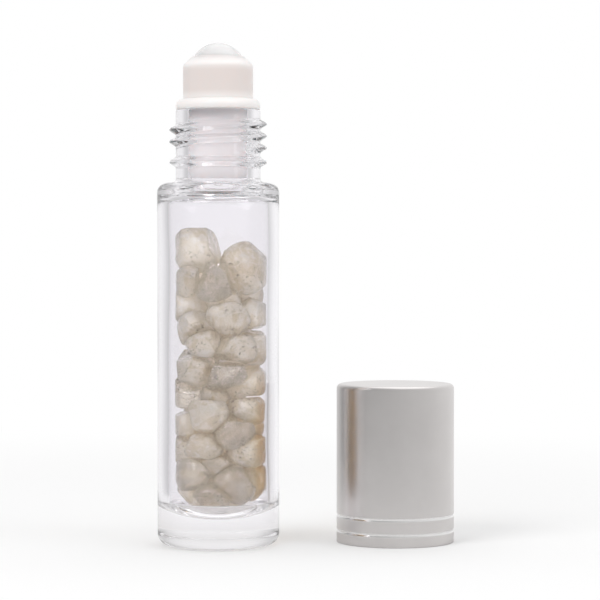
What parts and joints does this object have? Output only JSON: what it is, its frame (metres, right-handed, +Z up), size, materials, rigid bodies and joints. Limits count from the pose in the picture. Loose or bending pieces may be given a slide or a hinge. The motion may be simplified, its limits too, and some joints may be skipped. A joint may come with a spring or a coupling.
{
  "type": "roll-on bottle",
  "caption": "Clear glass roll-on bottle filled with tumbled crystal chips, with a roller ball fitment in its neck and its satin metal screw cap standing beside it.",
  "frame": {"origin": "centre of the bottle's base, on the surface that it stands on", "axes": "+Z up along the bottle's axis, +X from the bottle towards the cap, the picture looks along +Y"},
  "size_m": [0.0489, 0.0237, 0.0822],
  "materials": {
    "bottle_glass": "clear",
    "natural_plastic": "translucent",
    "ball_glass": "polished",
    "satin_aluminium": "satin",
    "inner_cap_plastic": "moulded",
    "crystal": "tumbled, translucent"
  },
  "bodies": {
    "bottle": {"glass_bottle": "bottle_glass", "crystal_chip_01": "crystal", "crystal_chip_02": "crystal", "crystal_chip_03": "crystal", "crystal_chip_04": "crystal", "crystal_chip_05": "crystal", "crystal_chip_06": "crystal", "crystal_chip_07": "crystal", "crystal_chip_08": "crystal", "crystal_chip_09": "crystal", "crystal_chip_10": "crystal", "crystal_chip_11": "crystal", "crystal_chip_12": "crystal", "crystal_chip_13": "crystal", "crystal_chip_14": "crystal", "crystal_chip_15": "crystal", "crystal_chip_16": "crystal", "crystal_chip_17": "crystal", "crystal_chip_18": "crystal", "crystal_chip_19": "crystal", "crystal_chip_20": "crystal", "crystal_chip_21": "crystal", "crystal_chip_22": "crystal", "crystal_chip_23": "crystal", "crystal_chip_24": "crystal", "crystal_chip_25": "crystal", "crystal_chip_26": "crystal", "crystal_chip_27": "crystal", "crystal_chip_28": "crystal", "crystal_chip_29": "crystal", "crystal_chip_30": "crystal", "crystal_chip_31": "crystal", "crystal_chip_32": "crystal", "crystal_chip_33": "crystal", "crystal_chip_34": "crystal", "crystal_chip_35": "crystal", "crystal_chip_36": "crystal", "crystal_chip_37": "crystal", "crystal_chip_38": "crystal", "crystal_chip_39": "crystal", "crystal_chip_40": "crystal", "crystal_chip_41": "crystal", "crystal_chip_42": "crystal", "crystal_chip_43": "crystal", "crystal_chip_44": "crystal", "crystal_chip_45": "crystal", "crystal_chip_46": "crystal", "crystal_chip_47": "crystal", "crystal_chip_48": "crystal", "crystal_chip_49": "crystal", "crystal_chip_50": "crystal", "crystal_chip_51": "crystal", "crystal_chip_52": "crystal", "crystal_chip_53": "crystal", "crystal_chip_54": "crystal"},
    "fitment": {"roller_housing": "natural_plastic"},
    "ball": {"roller_ball": "ball_glass"},
    "cap": {"cap_shell": "satin_aluminium", "cap_liner": "inner_cap_plastic"}
  },
  "joints": [
    {"name": "fitment_pull", "type": "slide", "parent": "bottle", "child": "fitment", "axis": [0, 0, 1], "range_m": [0, 0.014]},
    {"name": "ball_roll", "type": "hinge", "parent": "fitment", "child": "ball", "pos_m": [0, 0, 0.0776], "axis": [1, 0, 0], "continuous": true},
    {"name": "cap_lift", "type": "slide", "parent": "bottle", "child": "cap", "axis": [0, 0, 1], "range_m": [0, 0.09]}
  ]
}
